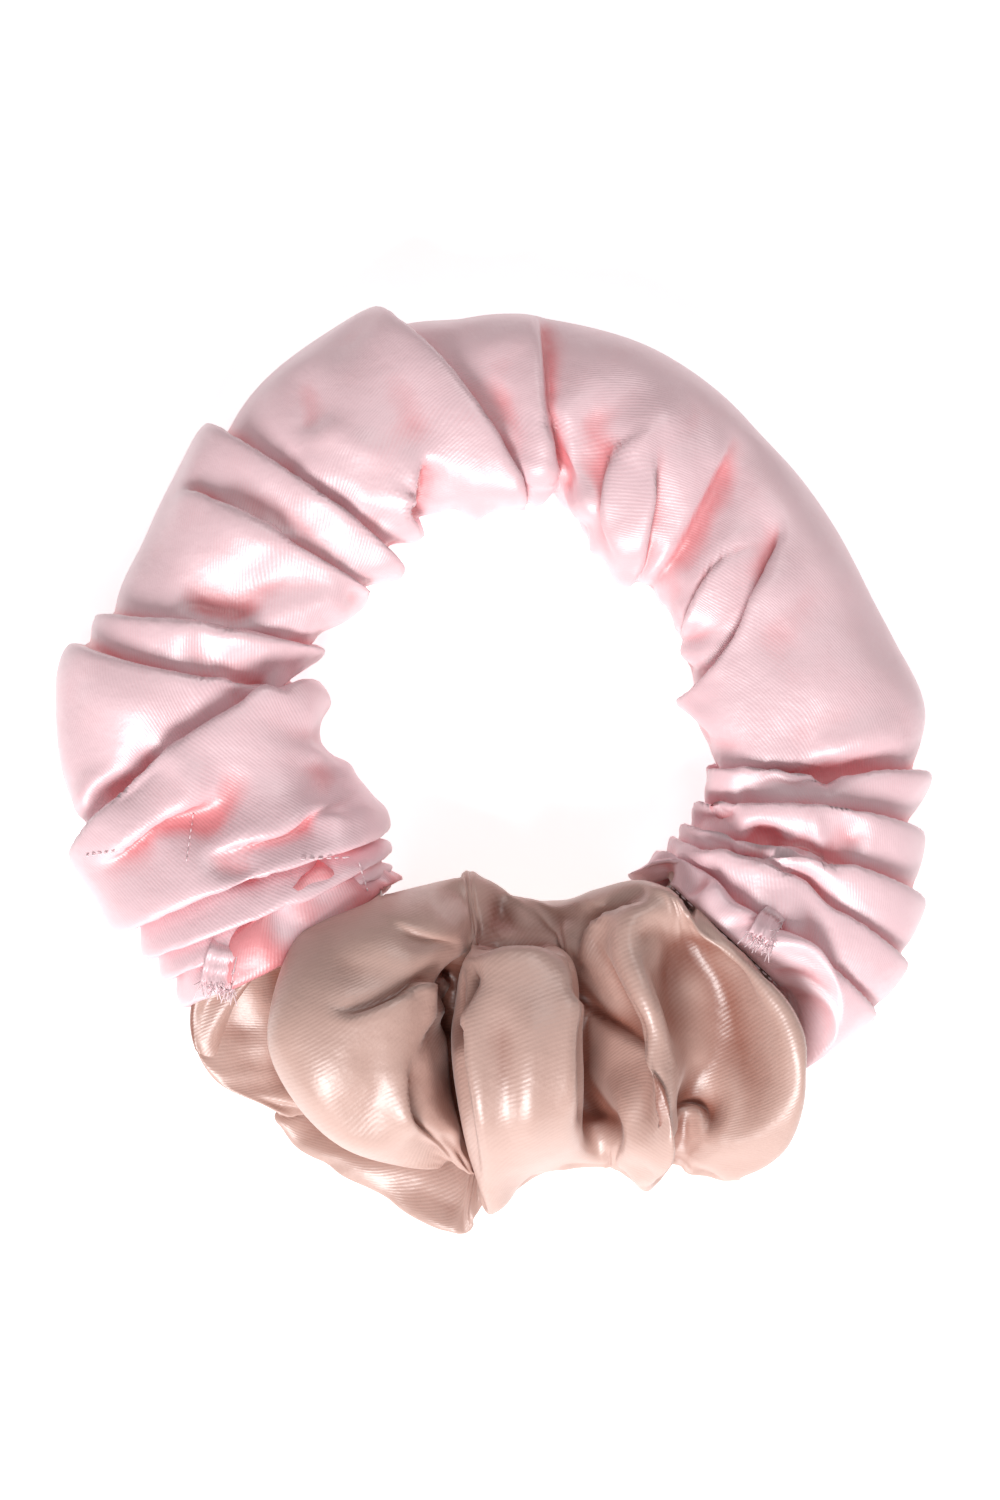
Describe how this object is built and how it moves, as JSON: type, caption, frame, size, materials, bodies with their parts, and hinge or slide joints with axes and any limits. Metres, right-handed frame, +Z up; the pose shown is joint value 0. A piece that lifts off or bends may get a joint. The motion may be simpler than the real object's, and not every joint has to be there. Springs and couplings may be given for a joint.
{
  "type": "scrunchie",
  "caption": "Two-tone satin hair scrunchie: a long gathered pink sleeve and a short, fuller beige one, sewn into a ring over a loop of flat elastic.",
  "frame": {"origin": "under the middle of the scrunchie's box, on the surface that it lies on", "axes": "+Z up, through the opening for the hair; +Y from the beige sleeve towards the middle of the pink one; +X to the right when +Y points away"},
  "size_m": [0.1482, 0.1544, 0.034],
  "materials": {
    "pink_satin": "pale pink satin weave with a broad soft sheen, thin enough to glow deeper pink in its folds",
    "beige_satin": "rosy beige satin weave with a broad soft sheen",
    "elastic_knit": "matt off-white knitted elastic",
    "elastic_thread": "matt off-white spun thread",
    "pink_thread": "pink spun sewing thread, slightly glossy",
    "beige_thread": "beige spun sewing thread, slightly glossy"
  },
  "bodies": {
    "pink_side": {"pink_sleeve": "pink_satin", "elastic_band": "elastic_knit", "elastic_join_needle_thread": "elastic_thread", "elastic_join_bobbin_thread": "elastic_thread", "pink_long_seam_thread": "pink_thread", "left_seam_tab": "pink_satin", "right_seam_tab": "pink_satin"},
    "beige_side": {"beige_sleeve": "beige_satin", "beige_long_seam_thread": "beige_thread", "left_join_thread": "pink_thread", "right_join_thread": "pink_thread"}
  },
  "joints": [
    {"name": "stretch", "type": "slide", "parent": "pink_side", "child": "beige_side", "axis": [0, -1, 0], "range_m": [0, 0.07], "stiffness_N_per_m": 60, "deforming": ["elastic_band"]}
  ]
}
